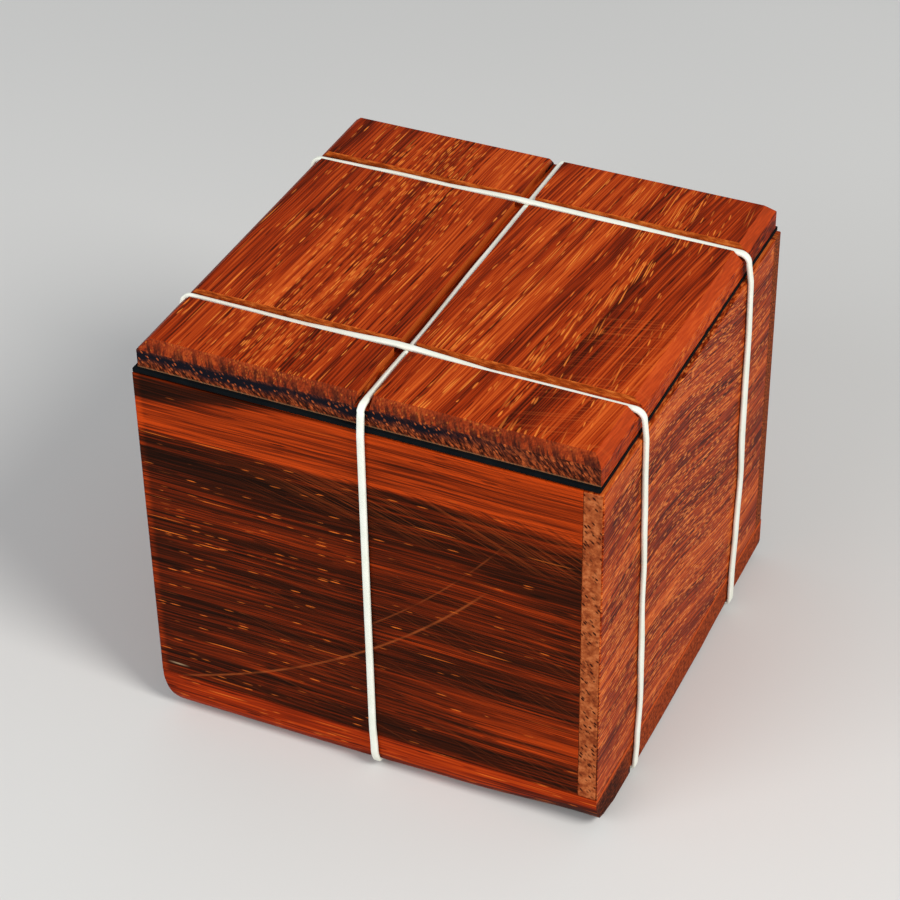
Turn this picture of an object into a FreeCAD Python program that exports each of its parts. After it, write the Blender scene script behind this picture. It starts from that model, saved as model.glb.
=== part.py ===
import FreeCAD, Part
import math
import os
import Sketcher

# Wooden puzzle box held shut by three flat rubber bands.
# Origin: centre of the resting plane. +X runs to the right panel, +Y to the back panel, +Z up.
# Lengths are in millimetres.

SIZES = {
    "box_side": 100.0,          # outside width and depth of the body
    "wall_thickness": 6.3,      # quarter-inch stock
    "lip_thickness": 4.1,       # what a corner rabbet leaves of the wall
    "glue_line": 0.02,
    "base_thickness": 9.5,      # three-eighths-inch stock
    "land_height": 2.0,         # raised middle of the base, inside the walls
    "land_clearance": 0.1,
    "rim_height": 86.6,
    "rest_gap": 0.3,            # air under the seal, above the rim
    "seal_thickness": 0.9,
    "seal_inset": 0.2,          # from the outside of the walls, so it stands proud of the lid
    "lid_thickness": 6.2,
    "lid_inset": 1.0,
    "plug_thickness": 6.0,
    "plug_clearance": 0.4,
    "plug_lead": 1.0,
    "top_chamfer": 2.1,
    "base_roundover": 4.0,
    "edge_softening": 0.35,
    "kerf_width": 3.2,          # one pass of an eighth-inch saw blade
    "kerf_spacing": 58.8,       # between the two grooves that run left to right
    "lid_kerf_depth": 2.4,
    "base_kerf_depth": 2.6,
    "band_width": 1.9,
    "band_thickness": 0.9,
    "band_side_gap": 0.12,
    "band_corner_gap": 0.47,
    "band_top_radius": 1.6,
    "band_foot_radius": 0.3,
    "band_foot_wrap": 12.0,     # degrees that a band follows the roundover before it enters its groove
    "band_foot_gap": 0.15,
    "band_edge": 0.2,
}

doc = FreeCAD.newDocument("puzzle_box")
sheet = doc.addObject("Spreadsheet::Sheet", "dims")
for row, (name, value) in enumerate(SIZES.items(), start=1):
    sheet.set("A%d" % row, name)
    sheet.set("B%d" % row, "%g" % value)
    sheet.setAlias("B%d" % row, name)
doc.recompute()

HALF = "dims.box_side / 2"
INNER = "(dims.box_side / 2 - dims.wall_thickness)"
LID_HALF = "(dims.box_side / 2 - dims.lid_inset)"
SEAL_HALF = "(dims.box_side / 2 - dims.seal_inset)"
PLUG_HALF = "(dims.box_side / 2 - dims.wall_thickness - dims.plug_clearance)"
LAND_HALF = "(dims.box_side / 2 - dims.wall_thickness - dims.land_clearance)"
SEAL_UNDERSIDE = "(dims.rim_height + dims.rest_gap)"
LID_UNDERSIDE = "(dims.rim_height + dims.rest_gap + dims.seal_thickness)"
LID_TOP = "(dims.rim_height + dims.rest_gap + dims.seal_thickness + dims.lid_thickness)"


def new_body(node):
    body = doc.addObject("PartDesign::Body", node)
    body.Label = node
    return body


def origin_plane(body, role):
    for feature in body.Origin.OriginFeatures:
        if feature.Role == role:
            return feature
    raise ValueError("no plane " + role)


def new_sketch(body, name, role):
    sketch = body.newObject("Sketcher::SketchObject", name)
    sketch.AttachmentSupport = [(origin_plane(body, role), "")]
    sketch.MapMode = "FlatFace"
    return sketch


def rectangle(body, name, height, left, right, front, back):
    """A horizontal rectangle at the given height, each side bound to its own expression."""
    sketch = new_sketch(body, name, "XY_Plane")
    sketch.setExpression("AttachmentOffset.Base.z", height)
    corners = [FreeCAD.Vector(x, y, 0) for x, y in ((-1, -1), (1, -1), (1, 1), (-1, 1))]
    for start in range(4):
        sketch.addGeometry(Part.LineSegment(corners[start], corners[(start + 1) % 4]), False)
    for side in range(4):
        sketch.addConstraint(Sketcher.Constraint("Coincident", side, 2, (side + 1) % 4, 1))
    for side, direction in enumerate(("Horizontal", "Vertical", "Horizontal", "Vertical")):
        sketch.addConstraint(Sketcher.Constraint(direction, side))
    sides = (
        ("left", "DistanceX", 0, left, -1.0),
        ("right", "DistanceX", 2, right, 1.0),
        ("front", "DistanceY", 0, front, -1.0),
        ("back", "DistanceY", 2, back, 1.0),
    )
    for side_name, kind, line, expression, start_value in sides:
        index = sketch.addConstraint(Sketcher.Constraint(kind, -1, 1, line, 1, start_value))
        sketch.renameConstraint(index, side_name)
        sketch.setExpression("Constraints." + side_name, expression)
    return sketch


def centred(body, name, height, half):
    return rectangle(body, name, height, "-" + half, half, "-" + half, half)


def pad(body, name, sketch, length):
    feature = body.newObject("PartDesign::Pad", name)
    feature.Profile = sketch
    feature.setExpression("Length", length)
    body.Tip = feature
    doc.recompute()
    return feature


def pocket(body, name, sketch, depth, upward=False):
    before = body.Shape.Volume
    feature = body.newObject("PartDesign::Pocket", name)
    feature.Profile = sketch
    feature.setExpression("Length", depth)
    feature.Reversed = upward
    body.Tip = feature
    doc.recompute()
    if not body.Shape.Volume < before - 0.001:
        raise ValueError(name + " cuts nothing")
    return feature


def dress(body, name, kind, measure, size, wanted):
    """Chamfer or fillet every edge of the body's present shape that the wanted test picks."""
    base = body.Tip
    names = ["Edge%d" % (i + 1) for i, edge in enumerate(base.Shape.Edges) if wanted(edge)]
    if not names:
        raise ValueError(name + " finds no edge")
    feature = body.newObject("PartDesign::" + kind, name)
    feature.Base = (base, names)
    feature.setExpression(measure, size)
    body.Tip = feature
    doc.recompute()
    return feature


def chamfer(body, name, size, wanted):
    return dress(body, name, "Chamfer", "Size", size, wanted)


def roundover(body, name, radius, wanted):
    return dress(body, name, "Fillet", "Radius", radius, wanted)


def same(a, b):
    return abs(a - b) < 1e-4


def level_at(height):
    return lambda edge: all(same(vertex.Z, height) for vertex in edge.Vertexes)


def upright_at(x, y):
    return lambda edge: all(same(v.X, x) and same(v.Y, y) for v in edge.Vertexes)


def cut_kerfs(body, height, depth, half, upward):
    """The three saw grooves for the bands: two left to right, one front to back."""
    width = "dims.kerf_width / 2"
    offset = "dims.kerf_spacing / 2"
    reach = half + " + 1"
    for side, sign in (("front", "-"), ("back", "")):
        sketch = rectangle(
            body, "%s_kerf_%s" % (body.Name, side), height,
            "-(%s)" % reach, reach, sign + offset + " - " + width, sign + offset + " + " + width,
        )
        pocket(body, "%s_kerf_cut_%s" % (body.Name, side), sketch, depth, upward)
    sketch = rectangle(
        body, body.Name + "_kerf_middle", height,
        "-" + width, width, "-(%s)" % reach, reach,
    )
    pocket(body, body.Name + "_kerf_cut_middle", sketch, depth, upward)


# Base board: full footprint, rounded foot, raised land that locates the walls, band grooves.
base = new_body("base_board")
pad(base, "base_slab", centred(base, "base_outline", "0", HALF), "dims.base_thickness")
roundover(base, "base_foot_round", "dims.base_roundover", level_at(0.0))
pad(base, "base_land", centred(base, "base_land_outline", "dims.base_thickness", LAND_HALF), "dims.land_height")
cut_kerfs(base, "0", "dims.base_kerf_depth", "dims.box_side / 2", True)

# Wall panels: each is rabbeted at one end and buried in its neighbour's rabbet at the other,
# so the four corners turn like a pinwheel.
WALLS = (("front_panel", 0), ("right_panel", 90), ("back_panel", 180), ("left_panel", 270))
for node, turn in WALLS:
    wall = new_body(node)
    outline = rectangle(
        wall, node + "_outline", "dims.base_thickness + dims.glue_line",
        "-" + HALF, HALF + " - dims.lip_thickness - dims.glue_line",
        "-" + HALF, "-" + INNER,
    )
    pad(wall, node + "_slab", outline, "dims.rim_height - dims.base_thickness - dims.glue_line")
    rabbet = rectangle(
        wall, node + "_rabbet", "dims.rim_height",
        "-%s - 1" % HALF, "-" + INNER + " + dims.glue_line",
        "-%s + dims.lip_thickness" % HALF, "-" + INNER + " + 1",
    )
    pocket(wall, node + "_rabbet_cut", rabbet, "dims.rim_height")
    half_side = SIZES["box_side"] / 2
    chamfer(wall, node + "_corner", "dims.edge_softening", upright_at(-half_side, -half_side))
    wall.Placement = FreeCAD.Placement(
        FreeCAD.Vector(0, 0, 0), FreeCAD.Rotation(FreeCAD.Vector(0, 0, 1), turn)
    )

# Lid: grooved board, black seal sheet under it, and a plug that drops inside the walls.
lid = new_body("lid_board")
pad(lid, "lid_slab", centred(lid, "lid_outline", LID_UNDERSIDE, LID_HALF), "dims.lid_thickness")
lid_top = (
    SIZES["rim_height"] + SIZES["rest_gap"] + SIZES["seal_thickness"] + SIZES["lid_thickness"]
)
chamfer(lid, "lid_top_chamfer", "dims.top_chamfer", level_at(lid_top))
cut_kerfs(lid, LID_TOP, "dims.lid_kerf_depth", "dims.box_side / 2", False)

seal = new_body("lid_seal")
pad(seal, "seal_sheet", centred(seal, "seal_outline", SEAL_UNDERSIDE, SEAL_HALF), "dims.seal_thickness")

plug = new_body("lid_plug")
plug_bottom = SEAL_UNDERSIDE + " - dims.plug_thickness"
pad(plug, "plug_slab", centred(plug, "plug_outline", plug_bottom, PLUG_HALF), "dims.plug_thickness")
plug_underside = SIZES["rim_height"] + SIZES["rest_gap"] - SIZES["plug_thickness"]
chamfer(plug, "plug_lead_in", "dims.plug_lead", level_at(plug_underside))


def corner_at(points, i):
    """The corner, the unit directions to its neighbours, and half the angle between them."""
    corner = FreeCAD.Vector(points[i][0], points[i][1], 0)
    before = FreeCAD.Vector(points[i - 1][0], points[i - 1][1], 0) - corner
    following = points[(i + 1) % len(points)]
    after = FreeCAD.Vector(following[0], following[1], 0) - corner
    half_angle = before.getAngle(after) / 2
    before.normalize()
    after.normalize()
    return corner, before, after, half_angle


def grown(points, distance):
    """The same anticlockwise loop moved outward, with its corner radii kept concentric."""
    moved = []
    for i, (_, _, radius) in enumerate(points):
        corner, before, after, half_angle = corner_at(points, i)
        bisector = before + after
        bisector.normalize()
        outside_turn = after.cross(before).z > 0
        sign = 1 if outside_turn else -1
        place = corner - bisector * (sign * distance / math.sin(half_angle))
        moved.append((place.x, place.y, radius + sign * distance))
    return moved


def rounded_loop(points):
    """Arcs and lines of a closed loop; each point is (along, up, corner radius)."""
    bends = []
    for i, (_, _, radius) in enumerate(points):
        corner, before, after, half_angle = corner_at(points, i)
        setback = radius / math.tan(half_angle)
        bisector = before + after
        bisector.normalize()
        middle = corner + bisector * (radius / math.sin(half_angle) - radius)
        bends.append((corner + before * setback, middle, corner + after * setback))
    pieces = []
    for i, (entry, middle, leave) in enumerate(bends):
        pieces.append(Part.Arc(entry, middle, leave))
        pieces.append(Part.LineSegment(leave, bends[(i + 1) % len(bends)][0]))
    return pieces


def band_path(crosses_over):
    """Inner face of a band, seen square on: along the box and up, right half then left half."""
    half_side = SIZES["box_side"] / 2
    side = half_side + SIZES["band_side_gap"]
    shoulder = half_side - SIZES["lid_inset"] + SIZES["band_corner_gap"]
    rim = SIZES["rim_height"] - 0.3
    foot = SIZES["base_kerf_depth"] - SIZES["band_foot_gap"]
    groove = lid_top - SIZES["lid_kerf_depth"] + SIZES["band_corner_gap"]
    round_centre = SIZES["base_roundover"]
    hug = SIZES["base_roundover"] + SIZES["band_side_gap"]
    wrap = math.radians(SIZES["band_foot_wrap"])
    drop = round_centre - hug * math.sin(wrap) - foot
    entry = half_side - round_centre + hug * math.cos(wrap) - drop * math.tan(wrap)
    right = [
        (entry, foot, SIZES["band_foot_radius"]),
        (side, round_centre - hug * math.tan(wrap / 2), hug),
        (side, rim, 4.0),
        (shoulder, groove, SIZES["band_top_radius"]),
    ]
    if crosses_over:
        step = SIZES["band_thickness"] + 0.05
        ramp_start = 16.0
        ramp_end = 1.6
        right = (
            [(ramp_end, foot - step, 3.0), (ramp_start, foot, 6.0)]
            + right
            + [(ramp_start, groove, 6.0), (ramp_end, groove + step, 3.0)]
        )
    left = [(-along, up, radius) for along, up, radius in reversed(right)]
    return right + left


def band(node, role, shift, crosses_over):
    """A flat rubber loop round the whole box, lying in the lid grooves and the base grooves."""
    body = new_body(node)
    sketch = new_sketch(body, node + "_loop", role)
    sketch.setExpression("AttachmentOffset.Base.z", shift + " - dims.band_width / 2")
    inner = band_path(crosses_over)
    sketch.addGeometry(rounded_loop(inner), False)
    sketch.addGeometry(rounded_loop(grown(inner, SIZES["band_thickness"])), False)
    pad(body, node + "_strip", sketch, "dims.band_width")
    chamfer(body, node + "_edges", "dims.band_edge", lambda edge: lies_flat(edge, role))
    return body


def lies_flat(edge, role):
    """True for an edge that lies in one plane across the band's width."""
    box = edge.BoundBox
    return (box.XLength if role == "YZ_Plane" else box.YLength) < 1e-4


# The two left-to-right bands cross over the front-to-back one, above and below.
band("band_cross", "YZ_Plane", "0", False)
band("band_front", "XZ_Plane", "dims.kerf_spacing / 2", True)
band("band_rear", "XZ_Plane", "-dims.kerf_spacing / 2", True)

doc.recompute()

os.makedirs("parts", exist_ok=True)
for item in doc.Objects:
    if "Invalid" in item.State or "Error" in item.State:
        raise ValueError(item.Name + " failed to build")
    if item.TypeId != "PartDesign::Body":
        continue
    shape = item.Shape
    if shape.isNull() or not shape.isValid() or len(shape.Solids) != 1:
        raise ValueError(item.Label + " is not one valid solid")
    shape.exportStep("parts/%s.step" % item.Label)
    box = shape.BoundBox
    print("%-12s %9.1f mm3  z %.2f to %.2f" % (item.Label, shape.Volume, box.ZMin, box.ZMax))
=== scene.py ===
import math

import bmesh
import bpy
from mathutils import Matrix, Vector


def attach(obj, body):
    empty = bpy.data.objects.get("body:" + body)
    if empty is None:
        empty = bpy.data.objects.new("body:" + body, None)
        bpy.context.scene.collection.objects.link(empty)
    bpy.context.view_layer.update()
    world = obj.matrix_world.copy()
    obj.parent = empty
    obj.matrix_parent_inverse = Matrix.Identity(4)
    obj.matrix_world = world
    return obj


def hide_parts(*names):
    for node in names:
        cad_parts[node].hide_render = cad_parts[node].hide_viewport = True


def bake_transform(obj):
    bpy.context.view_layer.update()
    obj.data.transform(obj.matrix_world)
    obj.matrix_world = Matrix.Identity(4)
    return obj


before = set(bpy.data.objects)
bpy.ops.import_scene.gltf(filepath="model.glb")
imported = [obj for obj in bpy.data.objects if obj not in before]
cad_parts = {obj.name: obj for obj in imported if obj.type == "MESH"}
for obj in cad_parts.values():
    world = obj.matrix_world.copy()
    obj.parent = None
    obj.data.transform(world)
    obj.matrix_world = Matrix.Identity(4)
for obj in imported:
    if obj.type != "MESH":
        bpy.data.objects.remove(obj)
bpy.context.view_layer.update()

MM = 0.001
scene = bpy.context.scene
scene.view_settings.view_transform = "Standard"


# ---------------------------------------------------------------- camera, floor and light

# Where the camera stands round the box and above it, and its tilt, in degrees.
VIEW_ANGLES = (25.13, 36.65, 0.99)
# Metres back from the middle of the resting face, and up and to the left of the line of sight.
VIEW_BACK, VIEW_UP, VIEW_LEFT = 0.59725, 0.03888, 0.00482
LENS_MM = 107.2

azimuth, elevation, roll = (math.radians(angle) for angle in VIEW_ANGLES)
backward = Vector((
    math.sin(azimuth) * math.cos(elevation),
    -math.cos(azimuth) * math.cos(elevation),
    math.sin(elevation),
))
level = Vector((math.cos(azimuth), math.sin(azimuth), 0))
upright = backward.cross(level)
across = level * math.cos(roll) - upright * math.sin(roll)
upward = level * math.sin(roll) + upright * math.cos(roll)
camera = bpy.data.objects.new("camera", bpy.data.cameras.new("camera"))
scene.collection.objects.link(camera)
camera.data.lens = LENS_MM
camera.data.sensor_width = 36.0
camera.data.clip_start = 0.01
camera.matrix_world = Matrix.Translation(
    backward * VIEW_BACK + upward * VIEW_UP - across * VIEW_LEFT
) @ Matrix((across, upward, backward)).transposed().to_4x4()
scene.camera = camera

world = bpy.data.worlds.new("studio")
world.use_nodes = True
sky = world.node_tree.nodes["Background"]
sky.inputs["Color"].default_value = (0.93, 0.96, 1.0, 1)
sky.inputs["Strength"].default_value = 0.40
scene.world = world


def area_light(name, place, size, power, colour):
    """A round soft light turned to the middle of the box; metres and watts."""
    light = bpy.data.lights.new(name, "AREA")
    light.shape = "DISK"
    light.size = size
    light.energy = power
    light.color = colour
    lamp = bpy.data.objects.new(name, light)
    lamp.location = place
    aim = Vector((0, 0, 0.05)) - Vector(place)
    lamp.rotation_euler = aim.to_track_quat("-Z", "Y").to_euler()
    scene.collection.objects.link(lamp)


area_light("key", (0.8, -0.3, 0.85), 0.45, 9.5, (1.0, 0.97, 0.93))
area_light("fill", (-0.4, -0.95, 0.6), 0.9, 6.0, (0.98, 0.99, 1.0))


# ---------------------------------------------------------------- shader arithmetic

class Value:
    """A shader socket that can be used in sums like a number."""

    def __init__(self, shader, socket):
        self.shader = shader
        self.socket = socket

    def _calc(self, operation, *others):
        return self.shader.calc(operation, self, *others)

    def __add__(self, other):
        return self._calc("ADD", other)

    __radd__ = __add__

    def __mul__(self, other):
        return self._calc("MULTIPLY", other)

    __rmul__ = __mul__

    def __sub__(self, other):
        return self._calc("SUBTRACT", other)

    def __rsub__(self, other):
        return self.shader.calc("SUBTRACT", other, self)

    def __truediv__(self, other):
        return self._calc("DIVIDE", other)

    def __abs__(self):
        return self._calc("ABSOLUTE")

    def root(self):
        return self._calc("SQRT")

    def clamp(self):
        return self.rise(0.0, 1.0, "LINEAR")

    def rise(self, low, high, kind="SMOOTHSTEP"):
        """0 below low, 1 above high. With low above high it falls instead."""
        node = self.shader.add("ShaderNodeMapRange", interpolation_type=kind)
        ends = (low, high) if low < high else (high, low)
        targets = (0.0, 1.0) if low < high else (1.0, 0.0)
        for socket, number in zip(node.inputs[:5], (self, *ends, *targets)):
            self.shader.feed(socket, number)
        return Value(self.shader, node.outputs["Result"])

    def bump_at(self, centre, half_width):
        """1 at the centre, easing to 0 half a width away on each side."""
        return abs(self - centre).rise(half_width, 0.0)


class Shader:
    """A material built from a few nodes at a time, on object coordinates in millimetres."""

    def __init__(self, name):
        self.material = bpy.data.materials.new(name)
        self.material.use_nodes = True
        self.nodes = self.material.node_tree.nodes
        self.nodes.clear()
        self.surface = self.add("ShaderNodeBsdfPrincipled")
        out = self.add("ShaderNodeOutputMaterial")
        self.material.node_tree.links.new(self.surface.outputs[0], out.inputs[0])
        self.places = self.add("ShaderNodeTexCoord")

    def add(self, kind, **settings):
        node = self.nodes.new(kind)
        for key, setting in settings.items():
            setattr(node, key, setting)
        return node

    def feed(self, socket, value):
        if isinstance(value, Value):
            self.material.node_tree.links.new(value.socket, socket)
        elif isinstance(value, bpy.types.NodeSocket):
            self.material.node_tree.links.new(value, socket)
        else:
            socket.default_value = value

    def calc(self, operation, *terms):
        node = self.add("ShaderNodeMath", operation=operation)
        for socket, term in zip(node.inputs, terms):
            self.feed(socket, term)
        return Value(self, node.outputs[0])

    def split(self, output, factor):
        node = self.add("ShaderNodeSeparateXYZ")
        self.feed(node.inputs[0], self.places.outputs[output])
        return [Value(self, socket) * factor for socket in node.outputs]

    def vector(self, x, y, z):
        node = self.add("ShaderNodeCombineXYZ")
        for socket, value in zip(node.inputs, (x, y, z)):
            self.feed(socket, value)
        return node.outputs[0]

    def noise(self, x, y, z, detail=2.0, roughness=0.5, distortion=0.0):
        node = self.add("ShaderNodeTexNoise")
        self.feed(node.inputs["Vector"], self.vector(x, y, z))
        for name, number in (("Scale", 1.0), ("Detail", detail),
                             ("Roughness", roughness), ("Distortion", distortion)):
            self.feed(node.inputs[name], number)
        return Value(self, node.outputs[0])

    def cells(self, x, y, z):
        """Distance to the nearest of scattered points, and two random numbers for that point."""
        node = self.add("ShaderNodeTexVoronoi")
        self.feed(node.inputs["Vector"], self.vector(x, y, z))
        self.feed(node.inputs["Scale"], 1.0)
        parts = self.add("ShaderNodeSeparateColor")
        self.feed(parts.inputs[0], node.outputs["Color"])
        return (Value(self, node.outputs["Distance"]),
                Value(self, parts.outputs[0]), Value(self, parts.outputs[1]))

    def blend(self, amount, first, second):
        node = self.add("ShaderNodeMix", data_type="RGBA")
        for socket, value in zip((node.inputs[0], node.inputs[6], node.inputs[7]),
                                 (amount, first, second)):
            self.feed(socket, value)
        return node.outputs[2]

    def ramp(self, amount, stops):
        node = self.add("ShaderNodeValToRGB")
        self.feed(node.inputs[0], amount)
        elements = node.color_ramp.elements
        while len(elements) < len(stops):
            elements.new(0.5)
        for element, (position, colour) in zip(elements, stops):
            element.position = position
            element.color = colour
        return node.outputs[0]

    def relief(self, height, depth_mm):
        node = self.add("ShaderNodeBump")
        self.feed(node.inputs["Height"], height)
        self.feed(node.inputs["Distance"], depth_mm * MM)
        self.feed(self.surface.inputs["Normal"], node.outputs[0])

    def finish(self, colour, roughness, specular):
        self.feed(self.surface.inputs["Base Color"], colour)
        self.feed(self.surface.inputs["Roughness"], roughness)
        self.feed(self.surface.inputs["Specular IOR Level"], specular)
        return self.material


def tone(red, green, blue):
    """A display colour, 0 to 255, as the linear colour that the shader takes."""
    def linear(level):
        level /= 255
        return level / 12.92 if level <= 0.04045 else ((level + 0.055) / 1.055) ** 2.4
    return (linear(red), linear(green), linear(blue), 1.0)


# ---------------------------------------------------------------- wood

WOOD_SHINE = 0.03
GRAIN_RELIEF_MM = 0.04


def zones(value, *bumps):
    """A sum of soft bumps, each (centre, half width, height)."""
    return sum(value.bump_at(centre, half) * height for centre, half, height in bumps)


def dashes(s, along, a, b, length, width, share):
    """Short strokes along the grain: 1 inside a stroke. share is how many places hold one."""
    distance, chance, strength = s.cells(along / length, a / width, b / width)
    return distance.rise(0.48, 0.26) * (chance + share).rise(0.99, 1.01) * (0.3 + strength * 0.7)


def wood(name, axes, seed, tones, contrast, stroke, slope=None, figure=None, pores=None,
         ends=None, marks=None):
    """Oiled padauk cut from a solid block, so side grain and end grain agree at every edge.

    axes gives the object axes that run along the grain, across the face and into it, and
    stroke the length, width and colour of a short open pore, whose bright colour is a painted glint.
    slope(place) is the grain's lean in millimetres, figure(place) adds to the lightness,
    pores(place) gives the share of short and of long pores that are open and their extra
    lean, ends(place) colours the end grain, and marks(place, colour) paints on the side grain.
    """
    s = Shader(name)
    position = dict(zip("XYZ", s.split("Object", 1000.0)))
    facing = dict(zip("XYZ", s.split("Normal", 1.0)))
    along, across_grain, into = (position[axis] for axis in axes)
    place = {"shader": s, "facing": facing, "seed": seed, **position}
    lean = slope(place) if slope else 0.0
    sway = s.noise(along / 80.0 + seed, across_grain / 40.0, into / 40.0, 1.0) - 0.5
    ripple = s.noise(along / 15.0 + seed, across_grain / 6.0, into / 6.0, 1.0) - 0.5
    settled = across_grain + lean + sway * 3.0 + ripple * 0.4
    place["A"] = settled
    a = settled + seed
    b = into + sway * 1.5 + seed * 1.7
    end_grain = abs(facing[axes[0]]).rise(0.62, 0.92)

    broad = s.noise(along / 200.0, a / 8.0, b / 8.0, 1.0)
    streak = s.noise(along / 60.0, a / 1.15, b / 1.15, 1.0)
    thread = s.noise(along / 34.0, a / 0.4, b / 0.4, 1.0)
    fibre = s.noise(along / 12.0, a / 0.28, b / 0.28, 0.0)
    light = (0.5 + (broad - 0.5) * 0.7 + (streak - 0.5) * (0.6 * contrast)
             + (thread - 0.5) * contrast + (fibre - 0.5) * (0.6 * contrast))
    short_share, long_share, tilt = pores(place) if pores else (0.3, 0.2, 0.0)
    dark = dashes(s, along + 3.0, a + 11.0, b, 5.0, 0.55, short_share * 0.5 + 0.06)
    light = light - dark * 0.24
    if figure:
        light = light + figure(place)
    colour = s.ramp(light, tones)

    cluster = s.noise(along / 20.0, a / 5.0, b / 5.0, 1.0).rise(0.36, 0.6)
    length, width, lit = stroke
    short = dashes(s, along, a + tilt, b, length, width, short_share * (0.45 + cluster * 0.75))
    long = dashes(s, along + 9.0, a + tilt + 5.0, b, length * 3.8, width,
                  long_share * (0.4 + cluster * 0.8))
    pore = (short + long).clamp()
    # The open pores are real; their bright colour is a painted glint of light in them.
    colour = s.blend(pore * 0.9, colour, lit)
    if marks:
        colour = marks(place, colour)
    if ends:
        end_tone = ends(place)
    else:
        speck = s.noise(along / 2.0, a / 0.45, b / 0.45, 2.0, 0.7)
        end_tone = s.ramp(speck, (
            (0.36, tone(48, 22, 14)), (0.5, tone(112, 48, 24)), (0.66, tone(184, 92, 44))))
    colour = s.blend(end_grain, colour, end_tone)
    rough = 0.40 + fibre * 0.14 + end_grain * 0.2
    s.relief(fibre * 0.6 + thread * 0.8 - pore, GRAIN_RELIEF_MM)
    return s.finish(colour, rough, WOOD_SHINE)


# The lid board: grain front to back, leaning a little more in the right half.

def lid_slope(place):
    return place["Y"] * (-0.05 - place["X"].rise(-8, 12) * 0.06)


def lid_figure(place):
    return zones(
        place["A"],
        (-28.5, 1.2, -0.10), (-21.5, 1.2, -0.10), (-16.5, 1.4, -0.12), (-4.0, 4.0, -0.08),
        (8.0, 5.0, 0.07), (14.0, 1.4, -0.12), (22.5, 3.6, -0.11), (33.0, 1.6, -0.07),
        (37.5, 2.8, -0.09), (45.0, 3.5, -0.06), (-38.0, 6.0, 0.04),
    )


def lid_pores(place):
    short = 0.07 + zones(place["A"], (-23.0, 19.0, 0.62), (6.0, 6.0, 0.15), (31.0, 9.0, 0.2))
    long = 0.04 + zones(place["A"], (14.0, 11.0, 0.5), (29.0, 8.0, 0.5), (-40.0, 7.0, 0.15))
    return short, long, place["Y"] * place["X"].rise(6, 42) * 0.22


def lid_marks(place, colour):
    """Sanding marks near the front right corner, painted light on the groove walls, comb marks on the front
    chamfer and a painted highlight on the right chamfer, which is kept plain.
    """
    s, x, y = place["shader"], place["X"], place["Y"]
    hair = s.noise(x / 25.0, (y - x * 0.3) / 0.5, place["Z"] / 20.0, 1.0).rise(0.54, 0.72)
    patch = x.rise(22, 40) * y.rise(6, -10)
    colour = s.blend((hair * patch * 0.3).clamp(), colour, tone(196, 92, 38))
    z, facing = place["Z"], place["facing"]
    # Painted light: the walls of the front-to-back groove are painted bright orange, as if lit.
    groove = abs(facing["X"]).rise(0.8, 0.95) * abs(x).rise(5, 3) * z.rise(91.4, 93.6)
    colour = s.blend(groove, colour, tone(186, 84, 30))
    comb = s.noise((x + z * 0.7) / 0.8, z / 5.0, y / 5.0, 1.0).rise(0.42, 0.56)
    front_bevel = facing["Y"].rise(-0.45, -0.6) * z.rise(91.2, 91.9) * y.rise(-44, -46)
    colour = s.blend((front_bevel * 0.5).clamp(), colour, tone(118, 46, 24))
    teeth = front_bevel * comb * z.rise(93.9, 92.3) * 0.8
    colour = s.blend(teeth.clamp(), colour, tone(34, 15, 14))
    # Painted highlight: the right chamfer is blended towards a plain bright orange where it faces the light.
    lit_right_bevel = facing["X"].bump_at(0.707, 0.18)
    return s.blend((lit_right_bevel * 0.6).clamp(), colour, tone(186, 70, 30))


def lid_ends(place):
    """Speckled end grain with a blue-black band on the ends; painted light on the groove walls, as brighter
    grain.
    """
    s, x, z = place["shader"], place["X"], place["Z"]
    drift = s.noise(x / 14.0, z / 30.0, place["Y"] / 30.0, 1.0) - 0.5
    slant = x + z * 0.75
    grain = s.noise(slant / 0.55, (z - x * 0.3) / 1.5, place["Y"] / 1.5, 2.0, 0.65)
    specks = dashes(s, z - x * 0.5, slant, place["Y"], 1.1, 0.62, 0.38)
    tone_low = s.ramp(grain, (
        (0.34, tone(26, 11, 8)), (0.5, tone(92, 38, 20)), (0.66, tone(168, 78, 38))))
    band = (z + drift * 4.0).bump_at(91.0, 2.4)
    patchy = (1.0 + drift * 2.2) * (0.15 + x.rise(38, 16) * 0.85)
    dark = s.blend((band * patchy).clamp(), tone_low, tone(20, 18, 26))
    dark = s.blend((specks * 0.8).clamp(), dark, tone(204, 100, 50))
    dark = s.blend((z.rise(88.3, 87.9) * 0.5).clamp(), dark, tone(168, 130, 92))
    # Painted light: the end-grain walls inside the grooves get a brighter torn-grain ramp, as if lit from the
    # front.
    torn = s.noise(x / 2.4, z / 0.7, place["Y"] / 2.0, 2.0, 0.6)
    groove = s.ramp(torn, (
        (0.30, tone(132, 52, 16)), (0.5, tone(186, 84, 28)), (0.68, tone(224, 124, 52))))
    inside = abs(place["Y"]).rise(44.5, 44.0)
    return s.blend(inside, dark, groove)


# The front panel: a black-brown wedge and a bright band at the top, dark below, red low right.

def sweep(place):
    """Height along the sanding arcs, which steepen to the right."""
    x = place["X"]
    return place["Z"] + x * 0.31 + (x * x) * 0.002


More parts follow.
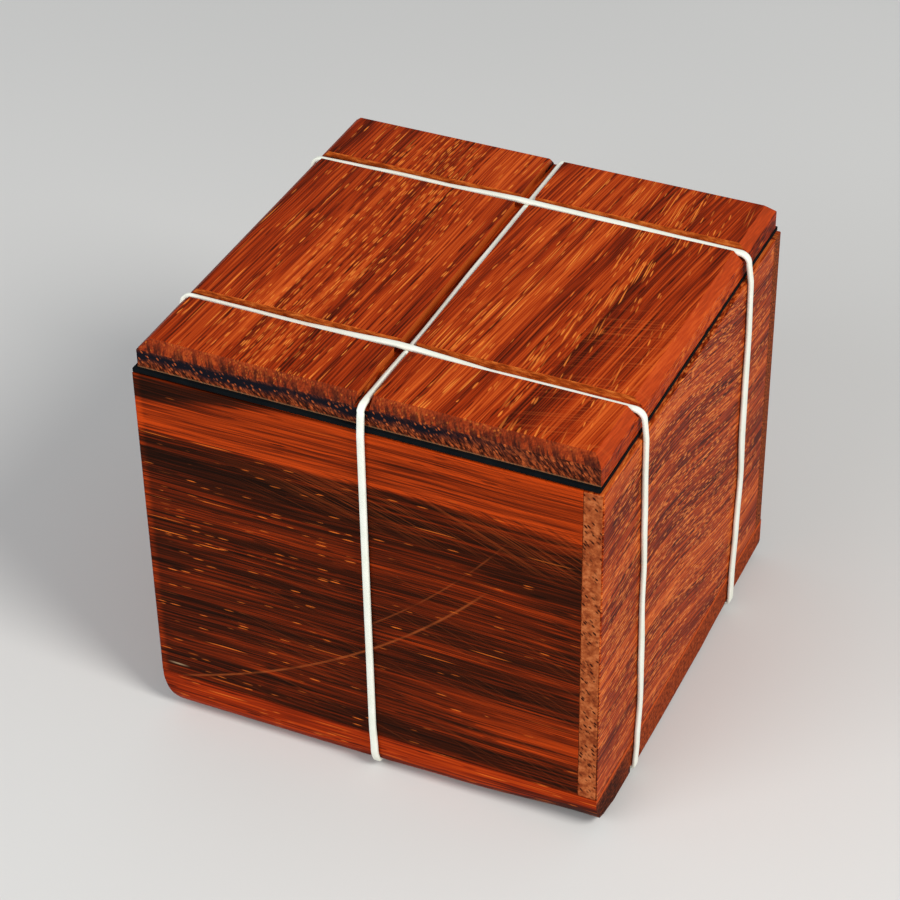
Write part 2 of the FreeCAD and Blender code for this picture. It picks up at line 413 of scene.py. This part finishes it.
def front_figure(place):
    s, x, z = place["shader"], place["X"], place["A"]
    ragged = (s.noise(x / 40.0, z / 1.0, place["Y"] / 9.0, 2.0) - 0.5) * 3.0
    torn = s.noise(x / 40.0, sweep(place) / 0.45, place["Y"] / 9.0, 1.0) - 0.5
    torn = torn * x.rise(-30, 5) * 3.0
    height = z + ragged + torn * z.bump_at(74.0, 8.0)
    wedge = (z + ragged * 0.6 + torn * 0.5 - 81.6 - (x + 50.0) * 0.16).rise(-1.5, 1.5)
    bright = height.rise(73.2, 75.6) * (1.0 - wedge)
    below = 1.0 - height.rise(72.6, 75.2)
    shade = below * height.rise(54.0, 71.0) * (1.0 - x.rise(0, 60) * 0.3)
    red = x.rise(0, 40) * z.bump_at(22.0, 8.0)
    foot = z.bump_at(12.8, 4.5) * x.rise(-25, 5)
    left_edge = x.rise(-47.6, -49.2)
    return (bright * 0.16 - wedge * 0.24 - shade * 0.16 - below * 0.12 + red * 0.22
            - foot * 0.12 + left_edge * 0.16)


def front_pores(place):
    x, z = place["X"], place["Z"]
    low = 1.0 - z.rise(71.0, 75.0)
    rows = zones(
        z,
        (28.5, 1.2, 0.7), (48.0, 1.6, 0.5), (59.5, 2.2, 0.6), (34.0, 1.2, 0.3), (20.0, 4.0, 0.2),
    )
    left = 0.3 + x.rise(14, -10) * 0.7
    return low * left * (0.06 + rows * 0.17), low * left * (0.02 + rows * 0.14), 0.0


def front_marks(place, colour):
    """Sanding arcs, one long scratch and a short scuff."""
    s, x, z = place["shader"], place["X"], place["Z"]
    v = sweep(place)
    hair = s.noise(x / 60.0, v / 0.32, place["Y"] / 20.0, 1.0).rise(0.5, 0.66)
    fade = s.noise(x / 9.0, v / 2.5, 0.0, 1.0).rise(0.35, 0.6)
    hairs = hair * (0.4 + fade * 0.6) * x.rise(-36, -8) * z.bump_at(70.0, 9.5)
    colour = s.blend((hairs * 0.32).clamp(), colour, tone(178, 78, 30))
    fine = s.noise(x / 50.0, v / 0.34, 5.0, 1.0).rise(0.5, 0.66) * x.rise(-12, 12) * z.rise(73, 78)
    colour = s.blend((fine * 0.22).clamp(), colour, tone(74, 26, 10))
    faint = s.noise(x / 30.0, v / 0.6, 9.0, 1.0).rise(0.56, 0.72) * z.rise(62, 50) * x.rise(-46, -20)
    colour = s.blend((faint * 0.12).clamp(), colour, tone(168, 74, 30))
    reach = ((x + 93.8) * (x + 93.8) + (z - 162.8) * (z - 162.8)).root()
    broken = s.noise(x / 5.0, z / 5.0, 0.0, 2.0).rise(0.3, 0.6)
    scratch = reach.bump_at(160.75, 0.42) * x.rise(-47, -38) * x.rise(28, 20) * (0.4 + broken * 0.6)
    second = reach.bump_at(155.5, 0.3) * x.rise(-8, 5) * x.rise(32, 24) * broken
    colour = s.blend((scratch * 0.6 + second * 0.3).clamp(), colour, tone(172, 84, 38))
    scuff = z.bump_at(12.6, 0.36) * x.bump_at(-45.6, 3.0)
    return s.blend((scuff * 0.8).clamp(), colour, tone(176, 150, 116))


# The side panels: paler, full of short strokes; their ends show fine dark pores.

def side_slope(place):
    return place["Y"].rise(-28, 46) * 14.0


def side_pores(place):
    y, z = place["Y"], place["Z"]
    clear = y.rise(-40, -49) * z.rise(66, 80) + y.rise(26, 44) * 0.6 + z.rise(26, 14) * 0.5
    return (0.8 - clear * 0.62).clamp(), (0.2 - clear * 0.2).clamp(), 0.0


def side_figure(place):
    y, a = place["Y"], place["A"]
    bands = zones(
        a,
        (76.0, 3.5, -0.10), (66.0, 2.5, -0.12), (54.0, 3.0, -0.08), (45.0, 2.0, -0.08),
        (30.0, 3.0, -0.05),
    )
    # Painted sheen: near the front corner the figure bands fade and the wood is painted lighter. Towards the
    # back end it is a little darker.
    return bands * (1.0 - y.rise(-38, -50)) + y.rise(-42, -50) * 0.05 - y.rise(34, 48) * 0.05


def side_ends(place):
    s, x, z = place["shader"], place["X"], place["Z"]
    falling, rising = (x - z) * 0.7, (x + z) * 0.7
    ground = s.noise(x / 1.3, z / 1.3, place["Y"] / 1.3, 2.0, 0.6)
    colour = s.ramp(ground, (
        (0.35, tone(130, 58, 28)), (0.5, tone(162, 82, 42)), (0.66, tone(188, 106, 60))))
    crowd = s.noise(x / 9.0, z / 6.0, place["Y"] / 9.0, 1.0).rise(0.35, 0.6)
    pits = dashes(s, falling, rising, place["Y"] * 0.2, 1.3, 0.6, 0.35 + crowd * 0.5)
    return s.blend((pits * 1.3).clamp(), colour, tone(58, 22, 12))


# The base board: orange top edge on the front with a painted shadow along the joint, painted shade low at the
# front's right end, dark mottled ends.

def base_figure(place):
    x, z = place["X"], place["Z"]
    # Painted shadow: the base darkens in a strip along its joint with the panels above.
    joint_shadow = z.rise(9.0, 9.6)
    streaks = zones(place["Z"], (6.2, 0.7, -0.08), (3.6, 0.6, -0.06))
    # Painted shade: the front is darker low at the right end, where the rounded foot faces down.
    return joint_shadow * -0.25 + z.rise(3.0, 8.0) * 0.05 + streaks - x.rise(18, 44) * z.rise(7.6, 5.5) * 0.26


def base_pores(place):
    return 0.05, 0.12, 0.0


def base_ends(place):
    s, y, z = place["shader"], place["Y"], place["Z"]
    mottle = s.noise(y / 1.3, z / 0.7, place["X"] / 2.0, 3.0, 0.7)
    colour = s.ramp(mottle, (
        (0.34, tone(88, 34, 15)), (0.5, tone(138, 54, 23)), (0.68, tone(176, 80, 36))))
    dark = y.rise(-26, -40) * (z + mottle * 3.0).rise(10.6, 8.6)
    colour = s.blend((dark * (1.3 - mottle)).clamp(), colour, tone(28, 15, 11))
    top = z.bump_at(9.0, 0.9)
    return s.blend((top * 0.75).clamp(), colour, tone(206, 84, 30))


# Each board's tones from dark to light, and the length, width and colour of its open pores, their bright
# colour a painted glint.
LID_TONES = (
    (0.16, tone(62, 17, 4)), (0.36, tone(116, 33, 7)), (0.52, tone(160, 50, 10)), (0.84, tone(212, 92, 32)))
FRONT_TONES = (
    (0.12, tone(26, 9, 3)), (0.34, tone(56, 18, 4)), (0.54, tone(108, 32, 5)), (0.86, tone(190, 64, 12)))
SIDE_TONES = (
    (0.18, tone(66, 17, 6)), (0.38, tone(122, 38, 11)), (0.56, tone(166, 62, 20)), (0.84, tone(216, 106, 44)))
BASE_TONES = (
    (0.14, tone(40, 12, 4)), (0.36, tone(98, 26, 5)), (0.54, tone(156, 45, 7)), (0.86, tone(206, 76, 18)))
LID_STROKE = (3.3, 0.42, tone(242, 134, 52))
FRONT_STROKE = (3.2, 0.36, tone(230, 112, 36))
SIDE_STROKE = (2.5, 0.45, tone(234, 132, 62))

lid_wood = wood("lid_wood", "YXZ", 3.1, LID_TONES, 0.8, LID_STROKE,
                lid_slope, lid_figure, lid_pores, lid_ends, lid_marks)
front_wood = wood("front_wood", "XZY", 11.7, FRONT_TONES, 0.66, FRONT_STROKE,
                  None, front_figure, front_pores, None, front_marks)
side_wood = wood("side_wood", "YZX", 23.9, SIDE_TONES, 0.9, SIDE_STROKE,
                 side_slope, side_figure, side_pores, side_ends)
back_wood = wood("back_wood", "XZY", 37.3, SIDE_TONES, 0.9, SIDE_STROKE,
                 None, None, side_pores)
base_wood = wood("base_wood", "XYZ", 41.9, BASE_TONES, 0.6, FRONT_STROKE,
                 None, base_figure, base_pores, base_ends)
plug_wood = wood("plug_wood", "YXZ", 53.3, LID_TONES, 0.8, LID_STROKE)


# ---------------------------------------------------------------- boards

def eased(at, stations):
    """Values that pass smoothly through stations of (place, value, value...)."""
    if at <= stations[0][0]:
        return stations[0][1:]
    for (start, *before), (end, *after) in zip(stations, stations[1:]):
        if at <= end:
            t = (at - start) / (end - start)
            t = t * t * (3 - 2 * t)
            return [a + (b - a) * t for a, b in zip(before, after)]
    return stations[-1][1:]


# Half the box's side, and the foot's even roundover before it is sanded by hand.
HALF_SIDE = 50
EVEN_ROUND = 4.0
# The sanding goes up to this height, and moves what lies this near to a side's own surface.
FOOT_TOP = 9.6
ON_THE_FACE = 0.08
# Where the foot gets extra edges, upwards and along each side, so that it can change shape there.
EXTRA_HEIGHTS = (5, 6, 7, 8)
EXTRA_PLACES = (-45, -40, -33, -24, -12, 12, 24, 33, 40, 45)
# How round the foot is sanded along each side: place along the side and radius.
FRONT_ROUND = ((-50, 4.8), (-8, 5.0), (22, 6.2), (46, 8.6))
RIGHT_ROUND = ((-50, 3.6), (-39, 1.3), (0, 1.2), (36, 3.3), (50, 3.8))
LEFT_ROUND = ((-50, 9.0), (-36, 6.0), (50, 4.5))
BACK_ROUND = ((-50, 4.5), (50, 3.8))
# How much the foot is cut back on the left, and the seal on the right.
LEFT_SHORT = 0.35
SEAL_SHORT = 0.6
# Faces that turn less than the first angle are one face. An edge that turns more than the
# second, and is longer than the length, is an arris.
FLAT_ANGLE = math.radians(1)
ARRIS_ANGLE = math.radians(20)
SHORTEST_ARRIS = 0.8


def foot_inset(radius, height):
    """How far in a rounded edge stands at a height above the resting plane."""
    if height >= radius:
        return 0.0
    return radius - math.sqrt(max(0.0, radius ** 2 - (radius - height) ** 2))


def hand_sanded(work):
    """Sand the foot by hand: rounder towards the front right and left, crisp on the right."""
    cuts = [((0, 0, up), (0, 0, 1)) for up in EXTRA_HEIGHTS]
    for at in EXTRA_PLACES:
        cuts += [((at, 0, 0), (1, 0, 0)), ((0, at, 0), (0, 1, 0))]
    for place, normal in cuts:
        bmesh.ops.bisect_plane(work, geom=work.verts[:] + work.edges[:] + work.faces[:],
                               plane_co=Vector(place) * MM, plane_no=normal)
    sides = ((1, -1, FRONT_ROUND, 0.0), (1, 1, BACK_ROUND, 0.0),
             (0, 1, RIGHT_ROUND, 0.0), (0, -1, LEFT_ROUND, LEFT_SHORT))
    for vertex in work.verts:
        before = vertex.co / MM
        after = before.copy()
        if before.z > FOOT_TOP:
            continue
        for axis, sign, stations, short in sides:
            inset = HALF_SIDE - sign * before[axis]
            if abs(inset - foot_inset(EVEN_ROUND, before.z)) < ON_THE_FACE:
                (radius,) = eased(before[1 - axis], stations)
                after[axis] = sign * (HALF_SIDE - short - foot_inset(radius, before.z))
        vertex.co = after * MM


def short_on_the_right(work):
    """The seal stops a little short of the wall's face on the right."""
    for vertex in work.verts:
        if vertex.co.x > (HALF_SIDE - 1) * MM:
            vertex.co.x -= SEAL_SHORT * MM


def refined(node, edge_mm, material, body, reshape=None):
    """A board or sheet with softly rounded arrises, after any reshaping, in its own material."""
    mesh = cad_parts[node].data.copy()
    mesh.materials.clear()
    piece = bpy.data.objects.new(node + "_timber", mesh)
    scene.collection.objects.link(piece)
    work = bmesh.new()
    work.from_mesh(mesh)
    bmesh.ops.remove_doubles(work, verts=work.verts, dist=1e-6)
    bmesh.ops.dissolve_limit(work, angle_limit=FLAT_ANGLE, verts=work.verts, edges=work.edges)
    if reshape:
        reshape(work)
    arrises = [edge for edge in work.edges
               if edge.calc_face_angle(0) > ARRIS_ANGLE and edge.calc_length() > SHORTEST_ARRIS * MM]
    bmesh.ops.bevel(work, geom=arrises, offset=edge_mm * MM, segments=3, profile=0.5,
                    affect="EDGES", clamp_overlap=True)
    for face in work.faces:
        face.smooth = True
    work.to_mesh(mesh)
    work.free()
    mesh.materials.append(material)
    weights = piece.modifiers.new("even_shading", "WEIGHTED_NORMAL")
    weights.weight = 80
    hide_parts(node)
    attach(piece, body)
    return piece


refined("base_board", 0.3, base_wood, "box", hand_sanded)
refined("front_panel", 0.18, front_wood, "box")
refined("right_panel", 0.18, side_wood, "box")
refined("back_panel", 0.18, back_wood, "box")
refined("left_panel", 0.18, side_wood, "box")
refined("lid_board", 0.3, lid_wood, "lid")
refined("lid_plug", 0.3, plug_wood, "lid")


# ---------------------------------------------------------------- rubber

def rubber(name, dark, light, rough, shine, depth_mm):
    """Rubber between two tones, mottled and slightly gritty, with relief depth_mm deep."""
    s = Shader(name)
    x, y, z = s.split("Object", 1000.0)
    mottle = s.noise(x / 5.0, y / 5.0, z / 5.0, 3.0, 0.6)
    grit = s.noise(x / 0.35, y / 0.35, z / 0.35, 2.0)
    colour = s.ramp(mottle * 0.7 + grit * 0.3, ((0.3, dark), (0.7, light)))
    s.relief(grit + mottle, depth_mm)
    return s.finish(colour, rough + grit * 0.15, shine)


band_rubber = rubber("band_rubber", tone(232, 236, 220), tone(248, 250, 240), 0.42, 0.4, 0.03)
# Near-black for the lid seal: part of its black is painted shade standing in for the shadow in the gap under
# the lid, and its blue tint is a painted reflection.
seal_rubber = rubber("seal_rubber", tone(6, 9, 12), tone(16, 21, 24), 0.8, 0.05, 0.05)


# Corners of a band's middle line at the foot, as (along, up, radius).
CRISP_FOOT = [(50.57, 2.0, 0.85)]
ROUND_FOOT = [(49.55, 2.0, 0.85), (50.57, 4.1, 6.07)]
# Heights of the middle line in a lid groove and where it crosses over another band.
IN_THE_GROOVE = 92.52
AT_THE_CROSSING = 93.47
# Above the first height a band is on the lid, and below the second it is under the base.
ON_THE_LID = 91.5
UNDER_THE_FOOT = 2.6
# How far in front of the middle, and behind it, the two left-to-right bands lie.
ROW = 29.4
# Half a band's thickness, and the number of points round its section.
BAND_HALF_THICKNESS = 0.43
BAND_SECTION = 12
# About how far apart the points along a band are, and how many degrees it turns between them.
LOOP_GAP = 1.2
TURN_STEP = 9


def rounded_corners(corners):
    """Points round a closed loop of (along, up, radius) corners, in millimetres."""
    points = []
    for i, (along, up, radius) in enumerate(corners):
        corner = Vector((along, up))
        before = (Vector(corners[i - 1][:2]) - corner).normalized()
        after = (Vector(corners[(i + 1) % len(corners)][:2]) - corner).normalized()
        half = before.angle(after) / 2
        bisector = (before + after).normalized()
        centre = corner + bisector * (radius / math.sin(half))
        start = corner + before * (radius / math.tan(half)) - centre
        finish = corner + after * (radius / math.tan(half)) - centre
        turn = start.angle_signed(finish)
        steps = max(2, round(abs(math.degrees(turn)) / TURN_STEP))
        for step in range(steps + 1):
            angle = -turn * step / steps
            points.append(centre + Matrix.Rotation(angle, 2) @ start)
    return points


def spaced(points, gap):
    """The same closed loop with points added on its long runs."""
    filled = []
    for i, point in enumerate(points):
        following = points[(i + 1) % len(points)]
        steps = max(1, round((following - point).length / gap))
        filled += [point.lerp(following, step / steps) for step in range(steps)]
    return filled


def band(node, frame_axes, corners, wander):
    """A flat rubber loop: frame_axes(along, up, sideways) places its points on the box, and
    wander(along, up) gives how far it strays sideways, its width and its twist there.
    """
    loop = spaced(rounded_corners(corners), LOOP_GAP)
    count = len(loop)
    mesh = bpy.data.meshes.new(node + "_loop")
    work = bmesh.new()
    rings = []
    for i, point in enumerate(loop):
        ahead = (loop[(i + 1) % count] - loop[i - 1]).normalized()
        outward = Vector((ahead.y, -ahead.x))
        sideways, width, twist = wander(point.x, point.y)
        ring = []
        for k in range(BAND_SECTION):
            angle = 2 * math.pi * (k + 0.5) / BAND_SECTION
            c, n = math.cos(angle), math.sin(angle)
            across_band = width / 2 * math.copysign(abs(c) ** 0.55, c)
            through = BAND_HALF_THICKNESS * math.copysign(abs(n) ** 0.55, n)
            w = across_band * math.cos(twist) - through * math.sin(twist)
            t = across_band * math.sin(twist) + through * math.cos(twist)
            place = point + outward * t
            ring.append(work.verts.new(frame_axes(place.x, place.y, sideways + w) * MM))
        rings.append(ring)
    for i in range(count):
        one, two = rings[i], rings[(i + 1) % count]
        for k in range(BAND_SECTION):
            beside = (k + 1) % BAND_SECTION
            face = work.faces.new((one[k], one[beside], two[beside], two[k]))
            face.smooth = True
    bmesh.ops.recalc_face_normals(work, faces=work.faces)
    work.to_mesh(mesh)
    work.free()
    piece = bpy.data.objects.new(node + "_loop", mesh)
    scene.collection.objects.link(piece)
    mesh.materials.append(band_rubber)
    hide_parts(node)
    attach(piece, "box")
    piece.parent = None
    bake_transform(piece)
    return piece


def half_loop(foot, shoulder_height, ramp, eave=IN_THE_GROOVE):
    """Middle line of half a band, seen square on, from the middle of the base to the middle of
    the lid. ramp is how far out it starts to rise over the band that it crosses, or 0, and
    eave its height there.
    """
    below = [(1.6, 1.05, 3.0), (16.0, 2.0, 6.0)] if ramp else []
    above = [(ramp, eave, 6.0), (1.6, AT_THE_CROSSING, 3.0)] if ramp else []
    return below + foot + [(50.57, 86.3, 4.4), (49.94, shoulder_height, 2.05)] + above


def whole_loop(right, left):
    """A closed loop of corners from a right half and a left half."""
    return right + [(-along, up, radius) for along, up, radius in reversed(left)]


def strayed(top, right, left, twisted=None):
    """How a band strays from the middle of its grooves: stations on the lid and down each side."""
    def wander(along, up):
        if up > ON_THE_LID:
            sideways, width = eased(along, top)
        elif up < UNDER_THE_FOOT:
            ends = ((-48.0, *left[0][1:]), (48.0, *right[0][1:]))
            sideways, width = eased(along, ends)
        else:
            sideways, width = eased(up, right if along > 0 else left)
        twist = twisted(along, up) if twisted else 0.0
        return sideways, width, twist
    return wander


def cross_twist(along, up):
    """The front-to-back band lies tilted in its groove near the front."""
    if up < ON_THE_LID:
        return 0.0
    (twist,) = eased(along, ((-47.5, 0.0), (-43.0, 0.55), (-8.0, 0.5), (8.0, 0.0)))
    return twist


front_stray = strayed(
    top=((-49, 1.05, 0.95), (-36, 1.05, 0.9), (-22, 0.8, 1.35), (-8, 0.3, 1.65), (8, 0.0, 1.4),
         (20, -0.25, 1.35), (34, -0.4, 1.35), (42, -0.6, 1.35), (49, -0.75, 1.45)),
    right=((2, -0.4, 1.9), (8, 0.3, 1.9), (20, 1.3, 1.75), (32, 0.9, 2.15), (46, 0.35, 1.5),
           (54, 0.6, 1.6), (66, 0.0, 1.95), (80, -0.6, 1.75), (91.5, -0.75, 1.5)),
    left=((2, 0.2, 1.8), (40, 0.6, 1.6), (70, 0.3, 1.8), (91.5, 0.85, 1.15)),
)
rear_stray = strayed(
    top=((-49, 0.3, 1.2), (-40, 0.6, 1.1), (-30, 0.9, 1.1), (-12, 0.45, 1.4), (6, 0.0, 1.55),
         (22, -0.15, 1.7), (38, -0.65, 1.7), (49, -0.8, 1.6)),
    right=((2, -1.0, 2.5), (9, -1.0, 2.5), (22, 0.0, 2.35), (36, 1.0, 2.2), (48, 0.2, 2.8),
           (60, 0.2, 2.7), (72, 0.4, 2.3), (84, -0.1, 2.0), (91.5, -0.8, 1.7)),
    left=((2, 0.3, 1.8), (50, -0.2, 1.7), (91.5, 0.3, 1.3)),
)
cross_stray = strayed(
    top=((-49, 0.2, 1.5), (-43, 0.05, 1.35), (-20, 0.5, 1.3), (0, 0.35, 1.3), (12, 0.7, 1.8),
         (34, 0.8, 1.9), (49, 0.8, 1.9)),
    right=((2, 0.2, 1.7), (50, 0.6, 1.6), (91.5, 0.8, 1.9)),
    left=((2, 0.75, 1.65), (6, 0.65, 1.6), (13, 0.4, 1.5), (60, 0.33, 1.45), (91.5, 0.35, 1.5)),
    twisted=cross_twist,
)

front_loop = whole_loop(half_loop(CRISP_FOOT, 92.9, 18.0, 92.65),
                        half_loop(ROUND_FOOT, 92.25, 22.0, 92.15))
rear_loop = whole_loop(half_loop(CRISP_FOOT, 93.25, 26.0, 93.2),
                       half_loop(ROUND_FOOT, 92.5, 18.0, 92.65))
cross_loop = whole_loop(half_loop(ROUND_FOOT, IN_THE_GROOVE, 0),
                        half_loop(ROUND_FOOT, IN_THE_GROOVE, 0))

band("band_front", lambda along, up, side: Vector((along, side - ROW, up)), front_loop, front_stray)
band("band_rear", lambda along, up, side: Vector((along, side + ROW, up)), rear_loop, rear_stray)
band("band_cross", lambda along, up, side: Vector((side, along, up)), cross_loop, cross_stray)

# Part of the seal's black is painted shade, standing in for the shadow in the gap under the lid.
refined("lid_seal", 0.15, seal_rubber, "lid", short_on_the_right)


# ---------------------------------------------------------------- floor

FLOOR_REACH = 3

floor_shader = Shader("floor_paper")
fx, fy, fz = floor_shader.split("Object", 1.0)
cloud = floor_shader.noise(fx * 3.0, fy * 3.0, fz, 2.0)
floor_material = floor_shader.finish(
    floor_shader.ramp(cloud, ((0.3, tone(214, 214, 212)), (0.7, tone(222, 222, 220)))), 0.8, 0.2)
floor_mesh = bpy.data.meshes.new("floor")
corners = [(-FLOOR_REACH, -FLOOR_REACH, 0), (FLOOR_REACH, -FLOOR_REACH, 0),
           (FLOOR_REACH, FLOOR_REACH, 0), (-FLOOR_REACH, FLOOR_REACH, 0)]
floor_mesh.from_pydata(corners, [], [(0, 1, 2, 3)])
floor_mesh.materials.append(floor_material)
floor = bpy.data.objects.new("floor", floor_mesh)
scene.collection.objects.link(floor)
